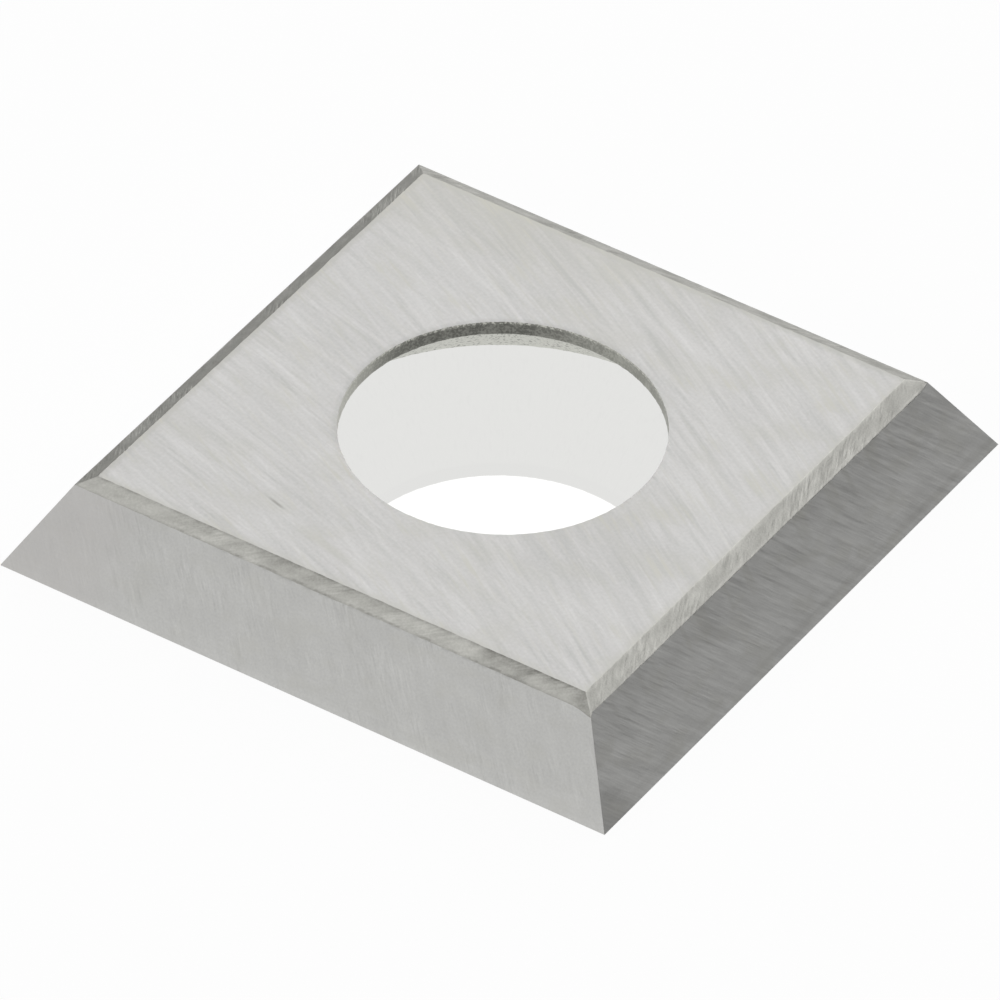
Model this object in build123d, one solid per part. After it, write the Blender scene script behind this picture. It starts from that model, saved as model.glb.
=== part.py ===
from build123d import *

import os
from math import radians, tan

# Square indexable knife insert: one piece of sintered tungsten carbide.
# A blank with a crowned upper edge is pressed and sintered with its screw hole in it.
# Its two faces are then lapped, and its four flanks are ground until they cut at the large face.
# Millimetres. The large face lies on z = 0, the seat face is on top, the cutting edges run
# along X and Y, and the origin is on the axis of the screw hole.

# Ground form
EDGE_LENGTH = 14.0  # side of the large face, from cutting corner to cutting corner
THICKNESS = 1.95  # large face to seat face
FLANK_ANGLE = 30.0  # lean of each flank from the vertical, in degrees

# Pressed blank
SEAT_WIDTH = 11.26  # side of the small seat face
SEAT_CORNER_RADIUS = 0.02  # the seat face's corners are all but sharp
BREAK_SLOPE = 24.2  # fall of the pressed edge break from the seat face, in degrees
BLANK_WIDTH = 14.6  # the blank before its flanks are ground
BLANK_CORNER_RADIUS = 0.2

# Screw hole
HOLE_DIAMETER = 6.43  # cylindrical land under the seat face
LAND_LENGTH = 0.3
SINK_ANGLE = 90.0  # included angle of the countersink that opens on the large face


def pressed_blank():
    """Square blank with rounded corners and a shallow break all round its upper edge."""
    break_width = (BLANK_WIDTH - SEAT_WIDTH) / 2
    shoulder_height = THICKNESS - break_width * tan(radians(BREAK_SLOPE))
    outline = RectangleRounded(BLANK_WIDTH, BLANK_WIDTH, BLANK_CORNER_RADIUS)
    seat = RectangleRounded(SEAT_WIDTH, SEAT_WIDTH, SEAT_CORNER_RADIUS)
    slab = extrude(outline, amount=shoulder_height)
    crown = loft([Pos(0, 0, shoulder_height) * outline, Pos(0, 0, THICKNESS) * seat], ruled=True)
    return slab + crown


def ground_envelope():
    """The space that the four flank grindings leave: a frustum on the large face."""
    return extrude(Rectangle(EDGE_LENGTH, EDGE_LENGTH), amount=THICKNESS, taper=FLANK_ANGLE)


def screw_hole():
    """Through hole: a countersink up from the large face, then a short cylindrical land."""
    hole_radius = HOLE_DIAMETER / 2
    sink_depth = THICKNESS - LAND_LENGTH
    sink_radius = hole_radius + sink_depth * tan(radians(SINK_ANGLE / 2))
    on_base = (Align.CENTER, Align.CENTER, Align.MIN)
    countersink = Cone(sink_radius, hole_radius, sink_depth, align=on_base)
    land = Cylinder(hole_radius, THICKNESS, align=on_base)
    return countersink + land


insert = (pressed_blank() & ground_envelope()) - screw_hole()
insert.label = "insert"

os.makedirs("parts", exist_ok=True)
export_step(insert, "parts/insert.step")
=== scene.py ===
from math import cos, pi, radians, sin, tan

import bpy
from mathutils import Matrix, Vector


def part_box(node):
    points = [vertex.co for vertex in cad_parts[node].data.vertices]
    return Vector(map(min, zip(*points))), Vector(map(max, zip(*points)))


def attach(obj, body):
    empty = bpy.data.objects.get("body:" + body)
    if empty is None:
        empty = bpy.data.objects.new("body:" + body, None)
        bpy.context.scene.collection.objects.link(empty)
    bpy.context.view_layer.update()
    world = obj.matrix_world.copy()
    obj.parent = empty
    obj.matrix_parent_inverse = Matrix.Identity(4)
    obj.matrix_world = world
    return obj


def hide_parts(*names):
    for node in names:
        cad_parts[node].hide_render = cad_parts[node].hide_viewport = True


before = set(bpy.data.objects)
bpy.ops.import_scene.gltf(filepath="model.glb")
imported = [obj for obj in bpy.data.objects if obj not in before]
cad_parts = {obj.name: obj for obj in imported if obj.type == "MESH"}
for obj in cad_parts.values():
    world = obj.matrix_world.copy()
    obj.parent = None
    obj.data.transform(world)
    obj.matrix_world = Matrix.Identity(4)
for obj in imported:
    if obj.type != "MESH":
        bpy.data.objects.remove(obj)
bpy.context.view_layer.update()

# ------------------------------------------------------------------ pressed blank
# The insert starts as a square blank of tungsten carbide and cobalt powder, pressed with a
# shallow break round its upper edge and then sintered. Its grey skin is slightly lumpy, and
# slanting marks of the dressed press tools cross the break. All is modelled in millimetres.
MM = 0.001
low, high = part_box("insert")
edge_length = (high.x - low.x) / MM
thickness = (high.z - low.z) / MM
seat_width = 11.26
break_slope = radians(24.2)
blank_width = 14.6
flank_lean = radians(30)
break_overlap = 0.3
break_rows = 26
loop_parts = 300
loop_first_parts = 3
lump_size = 0.25
lump_height = 0.011
mark_slant = radians(32)
mark_size = 0.5
mark_stretch = (1.2, 0.14, 0.14)
mark_depth = 0.006
worn_drop = 0.05
worn_reach_front = 0.42
worn_reach_right = 0.06
worn_curve = 1.5
worn_edge_share = 0.55
worn_more_at_back = 0.45
mitre_reach = 0.3


def add_piece(name, operator, **settings):
    """Adds one primitive with nothing else selected, and applies its place and scale."""
    bpy.ops.object.select_all(action="DESELECT")
    operator(**settings)
    piece = bpy.context.active_object
    piece.name = name
    bpy.ops.object.transform_apply(location=True, rotation=True, scale=True)
    return piece


def edit_edges():
    """Starts edit mode with every edge selected."""
    bpy.ops.object.mode_set(mode="EDIT")
    bpy.ops.mesh.select_mode(type="EDGE")
    bpy.ops.mesh.select_all(action="SELECT")


def next_loop(rise, spread):
    """Draws the selected loop of edges on to a new one, higher by rise and wider by spread."""
    bpy.ops.mesh.extrude_region_move(TRANSFORM_OT_translate={"value": (0, 0, rise)})
    bpy.ops.transform.resize(value=(spread, spread, 1), center_override=(0, 0, 0))


def close_ends():
    """Fills the open ends, turns the faces outwards and leaves edit mode."""
    bpy.ops.mesh.select_all(action="DESELECT")
    bpy.ops.mesh.select_non_manifold()
    bpy.ops.mesh.fill_holes(sides=0)
    bpy.ops.mesh.select_all(action="SELECT")
    bpy.ops.mesh.normals_make_consistent(inside=False)
    bpy.ops.object.mode_set(mode="OBJECT")


def point_group(piece, name, weigh):
    """Groups the points of the piece, each by the weight that its place gives it."""
    group = piece.vertex_groups.new(name=name)
    for point in piece.data.vertices:
        group.add([point.index], float(weigh(point.co)), "REPLACE")
    return group.name


def clouds(name, size, depth):
    """A soft random texture for roughening a surface."""
    texture = bpy.data.textures.new(name, "CLOUDS")
    texture.noise_scale = size
    texture.noise_depth = depth
    return texture


def apply_modifier(piece, kind, **settings):
    """Gives the piece one modifier and applies it."""
    modifier = piece.modifiers.new(kind.lower(), kind)
    for setting, value in settings.items():
        setattr(modifier, setting, value)
    bpy.context.view_layer.objects.active = piece
    bpy.ops.object.modifier_apply(modifier=modifier.name)


inner_half = seat_width / 2 - break_overlap
inner_height = thickness + break_overlap * tan(break_slope)
outer_half = edge_length / 2 - break_overlap
row_width = (outer_half - inner_half) / break_rows
break_run = 1 / tan(break_slope)
break_foot = (seat_width / 2 + thickness * break_run - edge_length / 2) / (break_run - tan(flank_lean))
corner_half = edge_length / 2 - break_foot * tan(flank_lean)
blank = add_piece(
    "pressed_blank", bpy.ops.mesh.primitive_plane_add, size=2 * inner_half, location=(0, 0, inner_height)
)
edit_edges()
bpy.ops.mesh.delete(type="ONLY_FACE")
bpy.ops.mesh.select_all(action="SELECT")
# Blender cuts an edge into a hundred parts at most, so the loop is divided twice.
bpy.ops.mesh.subdivide(number_cuts=loop_first_parts - 1)
bpy.ops.mesh.subdivide(number_cuts=loop_parts // loop_first_parts - 1)
for row in range(break_rows):
    half = inner_half + row * row_width
    next_loop(-row_width * tan(break_slope), (half + row_width) / half)
next_loop(0, blank_width / 2 / outer_half)
next_loop(-inner_height, 1)
close_ends()


def on_break(place):
    """Whether a point is on the break, and not on the blank's outer rim or underside."""
    return place.z > 0 and max(abs(place.x), abs(place.y)) < outer_half + row_width / 2


apply_modifier(
    blank, "DISPLACE", texture=clouds("sintered_lumps", lump_size, depth=3), texture_coords="GLOBAL",
    direction="Z", strength=lump_height, vertex_group=point_group(blank, "break", on_break),
)
tool_marks = clouds("tool_marks", mark_size, depth=2)
for side in range(4):
    turn = side * pi / 2
    outwards = Vector((sin(turn), -cos(turn)))
    along = Vector((cos(turn), sin(turn)))
    bpy.ops.object.empty_add(rotation=(0, 0, turn + mark_slant))
    guide = bpy.context.active_object
    guide.scale = mark_stretch
    bpy.context.view_layer.update()
    apply_modifier(
        blank, "DISPLACE", texture=tool_marks, texture_coords="OBJECT", texture_coords_object=guide,
        direction="Z", strength=mark_depth, vertex_group=point_group(
            blank, f"side_{side}",
            lambda place: on_break(place) and abs(place.xy @ along) <= place.xy @ outwards,
        ),
    )
    bpy.data.objects.remove(guide)


def worn_corner(place):
    """How far the front corner is worn at a place: mostly on the front side, not on the seat face."""
    front = 1 - (corner_half - place.x) / worn_reach_front
    right = 1 - (corner_half + place.y) / worn_reach_right
    below = (thickness - place.z) / worn_drop - 1
    share = min(front, right, below, 1)
    return share ** worn_curve if on_break(place) and share > 0 else 0


def worn_edge(place):
    """How far the right side's break is worn down at its outer edge, most towards the back."""
    reach = (place.x - seat_width / 2) / (corner_half - seat_width / 2)
    toward_back = 1 + worn_more_at_back * place.y / corner_half
    off_mitre = min(1, (place.x - abs(place.y)) / mitre_reach)
    share = min(reach, 1) * worn_edge_share * toward_back * off_mitre
    return share if on_break(place) and place.x > abs(place.y) and share > 0 else 0


for name, weigh in (("worn_corner", worn_corner), ("worn_edge", worn_edge)):
    apply_modifier(
        blank, "DISPLACE", direction="Z", strength=-worn_drop, mid_level=0,
        vertex_group=point_group(blank, name, weigh),
    )


class Wire:
    """A socket in a material's nodes. Operators on it add Math nodes, and node() adds any other."""

    def __init__(self, tree, socket):
        self.tree = tree
        self.socket = socket

    def node(self, kind, settings=None, inputs=None, output=0):
        """Adds a node: its settings, then the value or wire of each input. Returns one output."""
        made = self.tree.nodes.new(kind)
        for setting, value in (settings or {}).items():
            setattr(made, setting, value)
        for name, value in (inputs or {}).items():
            if isinstance(value, Wire):
                self.tree.links.new(value.socket, made.inputs[name])
            else:
                made.inputs[name].default_value = value
        return Wire(self.tree, made.outputs[output]) if made.outputs else None

    def math(self, operation, *values):
        return self.node("ShaderNodeMath", {"operation": operation}, dict(enumerate(values)))

    def __add__(self, other):
        return self.math("ADD", self, other)

    def __radd__(self, other):
        return self.math("ADD", other, self)

    def __sub__(self, other):
        return self.math("SUBTRACT", self, other)

    def __rsub__(self, other):
        return self.math("SUBTRACT", other, self)

    def __mul__(self, other):
        return self.math("MULTIPLY", self, other)

    def __rmul__(self, other):
        return self.math("MULTIPLY", other, self)

    def __truediv__(self, other):
        return self.math("DIVIDE", self, other)

    def __gt__(self, other):
        return self.math("GREATER_THAN", self, other)

    def __lt__(self, other):
        return self.math("LESS_THAN", self, other)

    def __abs__(self):
        return self.math("ABSOLUTE", self)


def start_finish(name):
    """A bare material, and the wires of the three coordinates on the object in millimetres."""
    material = bpy.data.materials.new(name)
    material.use_nodes = True
    tree = material.node_tree
    tree.nodes.clear()
    place = Wire(tree, tree.nodes.new("ShaderNodeTexCoord").outputs["Object"])
    axes = [place.node("ShaderNodeSeparateXYZ", inputs={0: place}, output=axis) / MM for axis in range(3)]
    return material, *axes


def grain(across, along, layer, width, length, detail=2.0):
    """Random grain between 0 and 1, of that width and length in millimetres. Each layer differs."""
    place = across.node(
        "ShaderNodeCombineXYZ", inputs={0: across / width, 1: along / length, 2: layer}
    )
    return place.node(
        "ShaderNodeTexNoise", {"noise_dimensions": "3D"},
        {"Vector": place, "Scale": 1.0, "Detail": detail},
    )


def step(wire, start, end):
    """Goes smoothly from 0 to 1 as the wire goes from start to end."""
    return wire.node(
        "ShaderNodeMapRange", {"interpolation_type": "SMOOTHSTEP"},
        {"Value": wire, "From Min": start, "From Max": end},
    )


def mix(share, first, second):
    """A colour between two, by share."""
    return share.node(
        "ShaderNodeMix", {"data_type": "RGBA", "clamp_factor": True}, {0: share, 6: first, 7: second}, 2
    )


def finish_metal(material, colour, roughness, height):
    """Ends a material as bare metal whose surface stands up by height, in millimetres."""
    bump = height.node("ShaderNodeBump", inputs={"Height": height, "Distance": MM})
    metal = height.node(
        "ShaderNodeBsdfPrincipled",
        inputs={"Base Color": colour, "Roughness": roughness, "Metallic": 1.0, "Normal": bump},
    )
    metal.node("ShaderNodeOutputMaterial", inputs={"Surface": metal})
    return material


right_side = 3
front_side = 5


def side_places(x, y):
    """Where a point is on its side: how far out, how far along, and the side's number, 1 to 7."""
    beside = abs(x) > abs(y)
    x_sign = x.math("SIGN", x)
    y_sign = y.math("SIGN", y)
    out = x.math("MAXIMUM", abs(x), abs(y))
    along = beside * y * x_sign - (1 - beside) * x * y_sign
    side = beside * (x_sign + 2) + (1 - beside) * (y_sign + 6)
    return out, along, side


sintered_skin, x, y, z = start_finish("sintered_skin")
out, along, side = side_places(x, y)
on_front = side.math("COMPARE", side, front_side, 0.5)
on_right = side.math("COMPARE", side, right_side, 0.5)
on_back = 1 - on_front - on_right
down = (thickness - z) / sin(break_slope)
mark_along = along * cos(mark_slant) - down * sin(mark_slant)
mark_across = -1 * down * cos(mark_slant) - along * sin(mark_slant)

# The marks of the press tools are keener in places, and keenest on the two sides at the back.
# Patches, specks and blotches vary the skin between them.
marked = step(grain(along, down, side * 1.7, width=0.8, length=0.5) + 0.08 * on_right, 0.42, 0.62)
keenness = 0.2 + marked * (0.8 + 0.75 * on_right + 2.1 * on_back)
mark_width = 0.035 + 0.025 * on_right
marks = (grain(mark_across, mark_along, side * 5.3, width=mark_width, length=0.4) - 0.5) * keenness
patches = (grain(along + down, down, side * 3.9 + 0.6, width=0.6, length=0.3) - 0.5) * (1 + on_back)
specks = grain(along, down, side * 6.1, width=0.04, length=0.04) - 0.5
blotches = step(grain(along + down, down, side + 2.3, width=0.35, length=0.8), 0.42, 0.6)

# The front break is soiled by handling in three stretches, and by the seat face it is painted darker as
# shade of that edge, most in those stretches.
handled_stretches = ((-1.9, 0.1, 0.12), (0.5, 1.4, 0.06), (3.1, 6.2, 0.22))
handled = 0
for start, end, share in handled_stretches:
    handled = handled + share * step(along, start, start + 0.4) * (1 - step(along, end - 0.3, end))
streaks = grain(mark_across, mark_along, side * 2.9, width=0.05, length=0.3)
near_seat = (1 - step(down, 0.0, 0.3)) * (0.5 + streaks)
by_seat = near_seat * (0.05 + 0.16 * blotches + 0.6 * handled)
grime_and_edge_shade = on_front * (handled * (0.6 + 0.5 * blotches) + by_seat - 0.02)
line_dashes = step(grain(along, side, side + 31.2, width=0.3, length=1.0), 0.4, 0.56)
# A thin dark line of painted shade runs along the seat face's edge, darker in dashes.
seat_line = on_front * (1 - step(down, 0.01, 0.07)) * (0.08 + 0.2 * line_dashes)

# Along the flank runs a thin broken burr on the front side, and painted glints in spots on the right one.
off_flank = edge_length / 2 - z * tan(flank_lean) - out
wave = grain(along, side, side + 7.1, width=0.25, length=1.0)
dashes = step(grain(along, side, side + 12.4, width=0.2, length=1.0), 0.4, 0.6) * step(along, -4.6, -2.6)
burr_line = 1 - step(abs(off_flank - 0.045 * wave), 0.004, 0.026)
burr = on_front * dashes * (1 - step(along, 3.8, 5.0)) * burr_line
# Painted glints in spots along the right side's flank edge.
spots = step(grain(along, side, side + 44.0, width=0.12, length=1.0), 0.52, 0.68)
edge_glints = on_right * spots * (1 - step(off_flank, 0.01, 0.06))
bright_edge = on_right * (1 - step(down, 0.0, 0.1))
corner = on_front * step(along, 5.4, 5.75) * step(down, 0.08, 0.3)

skin_light = (0.62, 0.615, 0.578, 1)
skin_dark = (0.20, 0.198, 0.181, 1)
dark = 0.65 * marks + 0.5 * patches + 0.5 * specks + grime_and_edge_shade + 0.32 * burr + seat_line
# Painted light and shade of the sides: the right side of the break is painted lighter, the more towards
# the back, and the two back sides a little darker.
dark = dark + 0.06 * on_back - (0.25 + 0.018 * along) * on_right
dark = dark - 0.15 * bright_edge + 0.25 * corner - 0.3 * edge_glints
skin_colour = mix(0.43 + 0.71 * dark, skin_light, skin_dark)
skin_relief = 0.003 * specks - (0.005 - 0.002 * on_right) * marks
blank.data.materials.append(finish_metal(sintered_skin, skin_colour, 0.45 + 0.2 * patches, skin_relief))

# ------------------------------------------------------------------ screw hole
# The hole for the countersunk clamping screw is pressed by a core pin, so it has the same
# sintered skin: a short cylindrical land under the seat face, painted darker as shade in the
# top of the hole, and a wide cone below it, whose wall leans 45 degrees.
hole_radius = 3.215
land_length = 0.3
around_hole = 560
cone_rows = 34
land_rows = 12
pin_overlap = 0.2
rim_margin = 0.01
grain_size = 0.12
grain_height = 0.02
cone_light = (0.575, 0.579, 0.536, 1)
cone_dark = (0.22, 0.221, 0.204, 1)
land_light = (0.6, 0.602, 0.556, 1)
land_shaded = (0.13, 0.131, 0.12, 1)

cone_height = thickness - land_length + pin_overlap
pin_radius = hole_radius + cone_height
cone_step = cone_height / cone_rows
core_pin = add_piece(
    "core_pin", bpy.ops.mesh.primitive_circle_add, vertices=around_hole, radius=pin_radius,
    location=(0, 0, -pin_overlap),
)
edit_edges()
for row in range(cone_rows):
    radius = pin_radius - row * cone_step
    next_loop(cone_step, (radius - cone_step) / radius)
for row in range(land_rows):
    next_loop((land_length + pin_overlap) / land_rows, 1)
close_ends()


def on_wall(place):
    """Whether a point is on the pin's wall, and not on the rim of one of its ends."""
    return rim_margin - pin_overlap < place.z < thickness + pin_overlap - rim_margin


apply_modifier(
    core_pin, "DISPLACE", texture=clouds("sintered_grain", grain_size, depth=2), texture_coords="GLOBAL",
    direction="NORMAL", strength=grain_height, vertex_group=point_group(core_pin, "wall", on_wall),
)

sintered_hole, x, y, z = start_finish("sintered_hole")
specks = grain(x, y, z / 0.05, width=0.05, length=0.05)
blotches = grain(x, y, z / 0.3, width=0.3, length=0.3)
around = x.math("ARCTAN2", y, x) * hole_radius
drawn = grain(around, z, 3.1, width=0.045, length=0.16)
below_land = thickness - land_length
on_land = step(z + 0.05 * (blotches - 0.5), below_land - 0.03, below_land + 0.01)
grains = step(specks + 0.6 * (blotches - 0.5), 0.36, 0.7)
pitted = step(drawn + 0.3 * (blotches - 0.5), 0.28, 0.5)
bright_rim = step(z, thickness - 0.08, thickness) * (0.25 + step(specks, 0.45, 0.65))
diagonal = (x + y) / 2 ** 0.5
# The land's painted shade is lighter towards the front-left and the back-right, most on the front-left.
land_less_shade = 0.35 * step(abs(diagonal), 0.9, 2.9) + 0.35 * step(-1 * diagonal, 1.4, 3.0)
cone_colour = mix(pitted, cone_dark, cone_light)
land_colour = mix(0.25 * grains + land_less_shade + bright_rim, land_shaded, land_light)
hole_colour = mix(on_land, cone_colour, land_colour)
core_pin.data.materials.append(
    finish_metal(sintered_hole, hole_colour, 0.4 + 0.2 * specks, 0.004 * specks)
)

# ------------------------------------------------------------------ grinding
# The two faces are ground flat under a cup wheel, which leaves long shallow arcs. The four
# flanks are then ground on a slant, each in the same setting, down to a keen cutting edge.
wheel_radius = 90
first_pass = radians(-18)
last_pass = radians(-31)
face_light = (0.585, 0.5805, 0.572, 1)
face_dark = (0.42, 0.4165, 0.408, 1)
face_warm = (0.47, 0.464, 0.42, 1)
gouge_colour = (0.22, 0.215, 0.195, 1)
face_roughness = 0.36
grinding_slant = radians(50)
flank_light = (0.63, 0.629, 0.612, 1)
flank_dark = (0.46, 0.459, 0.445, 1)
flank_tint = (0.51, 0.505, 0.465, 1)
flank_warm = (0.565, 0.549, 0.537, 1)
flank_roughness = 0.34
upper_share = 1 - 2 * thickness * tan(flank_lean) / edge_length

envelope = add_piece(
    "ground_envelope", bpy.ops.mesh.primitive_cube_add, size=1, location=(0, 0, thickness / 2),
    scale=(edge_length, edge_length, thickness),
)
bpy.ops.object.mode_set(mode="EDIT")
bpy.ops.mesh.select_mode(type="FACE")
bpy.ops.mesh.select_all(action="DESELECT")
bpy.ops.object.mode_set(mode="OBJECT")
for face in envelope.data.polygons:
    face.select = face.normal.z > 0.9
bpy.ops.object.mode_set(mode="EDIT")
bpy.ops.transform.resize(value=(upper_share, upper_share, 1), center_override=(0, 0, 0))
bpy.ops.object.mode_set(mode="OBJECT")

ground_face, x, y, z = start_finish("ground_face")


def wheel_arcs(x, y, direction):
    """How far across the arcs of a pass in that direction a place is, and how far along them."""
    over = x + wheel_radius * sin(-direction)
    up = y + wheel_radius * cos(direction)
    across = x.math("SQRT", over * over + up * up)
    return across, x.math("ARCTAN2", up, over) * wheel_radius


def wheel_marks(x, y, direction, layer):
    """The streaks of one pass of the wheel: fine ones, and broad ones, both keener in places."""
    across, along = wheel_arcs(x, y, direction)
    keen = step(grain(across, along, layer + 31, width=0.5, length=1.8, detail=1.0), 0.4, 0.65)
    fine = grain(across, along, layer, width=0.06, length=1.6, detail=3.0) - 0.5
    broad = grain(across, along, layer + 9, width=0.16, length=3.4) - 0.5
    return fine * (0.5 + 0.6 * keen), broad * (0.6 + 0.6 * keen)


# The seat face has streaks of its own, apart from the large face's.
on_seat = step(z, 0.5, 1.5)
face = on_seat * 40
toward_back = step(x + y, -8, 3)
fine, broad = wheel_marks(x, y, last_pass, face)
early_fine, early_broad = wheel_marks(x, y, first_pass, face + 3)
fine = fine * (0.3 + 0.7 * toward_back) + early_fine * (1 - 0.65 * toward_back)
broad = broad * (0.3 + 0.8 * toward_back) + early_broad * (1 - 0.6 * toward_back)
across, along = wheel_arcs(x, y, last_pass)
cloud = grain(x, y, face + 17, width=1.2, length=1.2) - 0.5
freckle = grain(x, y, face + 23, width=0.07, length=0.07) - 0.5
stained = step(grain(across, along, face + 47, width=0.09, length=1.5), 0.53, 0.7)
# Towards the back corner the seat face is darker and warmer.
darker_warmer_back = on_seat * step(y, 3.0, 6.0) * (1 - step(x, -3.0, 3.5))


def short_mark(x, y, place, turn, length, width):
    """A mark on the face: where its middle is, which way it runs, and half its length and width."""
    past_x = (x - place[0]) * cos(turn) + (y - place[1]) * sin(turn)
    past_y = (y - place[1]) * cos(turn) - (x - place[0]) * sin(turn)
    return (1 - step(abs(past_x), 0.1 * length, length)) * (1 - step(abs(past_y), 0.2 * width, width))


# Wear of the faces: a gouge with a faint tail, a smear, soiled places, a dull patch, and
# dulled edges; round the hole, a band of painted shade.
rim_shade_width = 0.16
dull_place = (3.4, -2.0)
dull_size = (2.2, 1.6)
gouge = short_mark(x, y, place=(-2.33, -4.36), turn=radians(-16), length=0.32, width=0.048)
tail = short_mark(x, y, place=(-2.9, -4.2), turn=radians(-15), length=1.2, width=0.045)
gouge = gouge + 0.25 * tail
smear = short_mark(x, y, place=(-0.8, -4.88), turn=radians(-14), length=1.1, width=0.16)
soiled = step(grain(x, y, face + 61, width=1.3, length=1.0, detail=4.0), 0.48, 0.66)
from_axis = x.math("SQRT", x * x + y * y)
# Painted shade round the rim of the hole, darkest on the back-left side.
hole_rim_shade = 1 - step(from_axis, hole_radius, hole_radius + rim_shade_width)
hole_rim_shade = hole_rim_shade * (0.15 + 0.85 * step(y - x, -1.0, 1.5))
dull_x = (x - dull_place[0]) / dull_size[0]
dull_y = (y - dull_place[1]) / dull_size[1]
dull = 1 - step(x.math("SQRT", dull_x * dull_x + dull_y * dull_y), 0.4, 1.2)
back_edge = 2 - step(seat_width / 2 + x, 0.02, 0.18) - step(seat_width / 2 - y, 0.02, 0.18)
out = x.math("MAXIMUM", abs(x), abs(y))
near_edge = 1 - step(seat_width / 2 - out, 0.0, 0.2)
tone = 1.2 * fine + 1.75 * broad + 0.3 * cloud + 0.95 * freckle - 0.45 * darker_warmer_back - 0.55 * hole_rim_shade
tone = tone - 0.25 * dull - 0.45 * back_edge - 0.2 * near_edge - 0.13 * soiled - 0.4 * smear
warm = 0.3 * stained + 0.3 * darker_warmer_back + 0.3 * near_edge + soiled * (0.22 + 0.35 * stained) + 0.4 * smear
face_colour = mix(0.42 + 0.65 * tone, face_dark, face_light)
face_colour = mix(warm, face_colour, face_warm)
face_colour = mix(0.55 * gouge, face_colour, gouge_colour)
envelope.data.materials.append(finish_metal(ground_face, face_colour, face_roughness, 0.0012 * fine))

ground_flank, x, y, z = start_finish("ground_flank")
out, sideways, side = side_places(x, y)
on_right = side.math("COMPARE", side, right_side, 0.5)
up_flank = z / cos(flank_lean)
steeper = 0.8 + 0.2 * on_right
across = sideways * sin(grinding_slant) + up_flank * cos(grinding_slant) * steeper
along = sideways * cos(grinding_slant) - up_flank * sin(grinding_slant)
keen = step(grain(across, along, side * 5.1 + 60, width=0.35, length=0.7, detail=1.0), 0.45, 0.66)
fine = (grain(across, along, side * 7.7, width=0.035, length=0.35, detail=3.0) - 0.5) * (0.1 + 1.1 * keen)
broad = grain(across, along, side * 3.1 + 40, width=0.16, length=1.3, detail=2.0) - 0.5
cloud = grain(sideways, up_flank, side * 2.3 + 80, width=0.8, length=0.5) - 0.5
freckle = grain(sideways, up_flank, side + 23, width=0.05, length=0.05) - 0.5
near_edge = 1 - step(up_flank, 0.0, 0.6)
lighter = step(up_flank, 0.25, 0.75) * (1 - step(up_flank, 0.8, 1.7)) * on_right

# Wear of the flanks: low ledges and a honed line by the cutting edge, dark streaks, notches and
# a rubbed corner on the right flank, and the burr's shadow on the others.
ledges = grain(sideways, up_flank, side + 91, width=0.9, length=0.08) - 0.5
ledges = ledges * (1 - step(up_flank, 0.3, 0.9)) * (1 + on_right)
honed = step(up_flank, 0.08, 0.16) * (1 - step(up_flank, 0.2, 0.3))
honed = honed * (0.25 + 0.25 * on_right + 0.6 * on_right * step(sideways, -2.5, 0.5))
dark_streaks = step(grain(across, along, side + 33, width=0.09, length=1.3), 0.5, 0.68)
dark_streaks = dark_streaks * step(up_flank, 0.4, 1.4) * on_right
notches = on_right * step(grain(sideways, side, side + 71, width=0.5, length=1.0), 0.5, 0.62)
notches = notches * step(up_flank, 1.3, 1.75)
rubbed = on_right * (1 - step(sideways + 0.5 * up_flank, -6.4, -5.7)) * (1 - step(up_flank, 0.55, 1.0))
below_foot = (break_foot - z) / cos(flank_lean)
burr = step(grain(sideways, side, side + 12.4, width=0.14, length=1.0), 0.42, 0.6)
burr = burr * (1 - step(below_foot, 0.0, 0.06))
burr = burr * (1 - on_right) * step(sideways, -3.4, -2.0) * (1 - step(sideways, 3.8, 5.0))

tone = (1.25 - 0.15 * on_right) * fine + (0.4 + 0.75 * on_right) * broad
tone = tone + (0.55 + 0.35 * on_right) * cloud + (0.9 - 0.4 * on_right) * freckle
# Painted light: the right flank is painted lighter all over. All flanks are lighter near the cutting
# edge, and the right one also in a band low on it.
tone = tone + 0.3 * ledges + 0.2 * near_edge + (0.19 + 0.3 * lighter) * on_right
tone = tone - 0.3 * honed - 1.1 * rubbed - 0.65 * dark_streaks - 0.6 * burr - 0.25 * notches
tinted = step(grain(sideways, up_flank, side + 57, width=0.9, length=0.5), 0.5, 0.65)
tinted = tinted * (0.2 + 0.1 * on_right) + 0.15 * honed * on_right + 0.3 * notches
warm_end = (1 - on_right) * (1 - step(sideways, -5.5, -3.8))
flank_colour = mix(0.5 + 0.8 * tone, flank_dark, flank_light)
flank_colour = mix(tinted, flank_colour, flank_tint)
flank_colour = mix(0.5 * warm_end, flank_colour, flank_warm)
flank_relief = 0.0015 * fine + 0.008 * broad
envelope.data.materials.append(finish_metal(ground_flank, flank_colour, flank_roughness, flank_relief))
for face in envelope.data.polygons:
    face.material_index = 0 if abs(face.normal.z) > 0.9 else 1


def cut(piece, operation, tool):
    """Cuts the piece with the tool, whose material the new faces keep."""
    apply_modifier(
        piece, "BOOLEAN", object=tool, operation=operation, solver="EXACT", material_mode="TRANSFER"
    )
    bpy.data.objects.remove(tool)


insert = blank
cut(insert, "INTERSECT", envelope)
cut(insert, "DIFFERENCE", core_pin)
insert.name = "carbide_insert"
insert.scale = (MM, MM, MM)
bpy.ops.object.select_all(action="DESELECT")
insert.select_set(True)
bpy.ops.object.transform_apply(location=False, rotation=False, scale=True)
for face in insert.data.polygons:
    face.use_smooth = insert.data.materials[face.material_index] in (sintered_skin, sintered_hole)
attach(insert, "root")
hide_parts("insert")

# ------------------------------------------------------------------ floor
# The insert lies on its large face on a pale bench. Under the insert and its open hole the
# bench has a polished pad, so that the rim of the hole shows in it. Seen from below, the bench
# is clear, so that the large face shows.
bench_width = 3000
bench_gap = 0.01
bench_glow = 0.9
pad_radius = 6
pad_shade = 0.218
pad_polish = 0.035
polish_roughness = 0.02
white = (1, 1, 1, 1)
pad_white = (1, 1, 0.982, 1)

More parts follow.
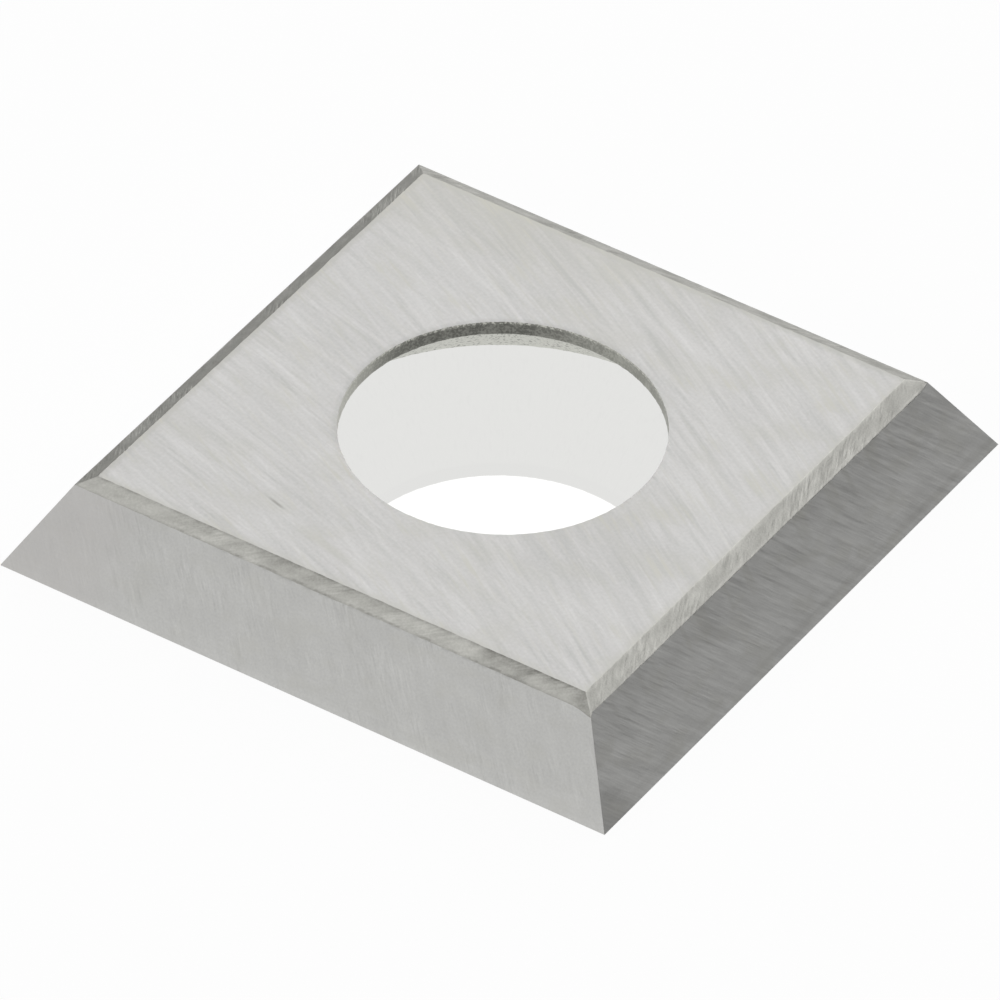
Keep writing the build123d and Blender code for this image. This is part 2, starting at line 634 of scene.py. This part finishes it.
floor = add_piece(
    "floor", bpy.ops.mesh.primitive_plane_add, size=bench_width * MM, location=(0, 0, -bench_gap * MM)
)
pale_floor, x, y, z = start_finish("pale_floor")
tree = pale_floor.node_tree
path = tree.nodes.new("ShaderNodeLightPath")
camera_ray = Wire(tree, path.outputs["Is Camera Ray"])
shown = camera_ray
for ray in ("Is Glossy Ray", "Is Transmission Ray"):
    shown = shown + Wire(tree, path.outputs[ray])
matt = shown.node("ShaderNodeBsdfDiffuse", inputs={"Color": white})
glow = shown.node("ShaderNodeEmission", inputs={"Color": white, "Strength": 1.0})
pad_light = 1 - pad_shade * camera_ray
pad_glow = shown.node("ShaderNodeEmission", inputs={"Color": pad_white, "Strength": pad_light})
polish = shown.node("ShaderNodeBsdfGlossy", inputs={"Color": white, "Roughness": polish_roughness})
clear = shown.node("ShaderNodeBsdfTransparent")


def mix_shaders(share, first, second):
    """A surface between two, by share."""
    return second.node("ShaderNodeMixShader", inputs={0: share, 1: first, 2: second})


bench = mix_shaders(shown * bench_glow, matt, glow)
pad = mix_shaders(pad_polish, mix_shaders(shown, matt, pad_glow), polish)
under_insert = x * x + y * y < pad_radius ** 2
from_below = Wire(tree, tree.nodes.new("ShaderNodeNewGeometry").outputs["Backfacing"])
surface = mix_shaders(from_below, mix_shaders(under_insert, bench, pad), clear)
surface.node("ShaderNodeOutputMaterial", inputs={"Surface": surface})
floor.data.materials.append(pale_floor)

# ------------------------------------------------------------------ camera
# The camera stands well back and above, and looks along a diagonal of the insert.
view_turn = radians(33.1)
view_height = radians(40.133)
view_roll = radians(0.844)
view_distance = 310.62
view_shift = (-0.0345, 0.0848)
lens_length = 575.05
sensor_width = 36
nearest_shown = 20

facing = (
    Matrix.Rotation(view_turn, 4, "Z")
    @ Matrix.Rotation(pi / 2 - view_height, 4, "X")
    @ Matrix.Rotation(view_roll, 4, "Z")
)
bpy.ops.object.camera_add()
camera = bpy.context.active_object
camera.matrix_world = Matrix.Translation(facing @ Vector((*view_shift, view_distance)) * MM) @ facing
camera.data.lens = lens_length
camera.data.sensor_width = sensor_width
camera.data.clip_start = nearest_shown * MM
bpy.context.scene.camera = camera

# ------------------------------------------------------------------ light
# Softboxes light the insert in a dim room: one overhead, two behind and one in front. A small
# lamp behind shines in the polished pad where the open hole lets it.
softbox_distance = 0.5
room_brightness = 0.08


def softbox(name, turn, height, width, depth, brightness):
    """A soft lamp that faces the insert from that turn and height, as bright as a white card is."""
    place = Vector((sin(turn) * cos(height), -cos(turn) * cos(height), sin(height))) * softbox_distance
    bpy.ops.object.light_add(type="AREA", location=place, rotation=(pi / 2 - height, 0, turn))
    lamp = bpy.context.active_object
    lamp.name = name
    lamp.data.shape = "RECTANGLE"
    lamp.data.size = width
    lamp.data.size_y = depth
    lamp.data.energy = brightness * pi * width * depth


softbox("overhead_softbox", radians(213), radians(85), 1.1, 1.1, 1.09)
softbox("back_softbox", radians(200), radians(27), 0.48, 0.19, 1.27)
softbox("back_strip", radians(202), radians(9), 0.5, 0.12, 0.75)
softbox("front_softbox", radians(345), radians(18), 0.5, 0.36, 0.84)
softbox("pad_lamp", view_turn + pi, view_height, 0.02, 0.02, 8.0)
world = bpy.data.worlds.new("dim_room")
world.use_nodes = True
background = world.node_tree.nodes["Background"]
background.inputs["Color"].default_value = white
background.inputs["Strength"].default_value = room_brightness
bpy.context.scene.world = world
bpy.context.scene.view_settings.view_transform = "Standard"
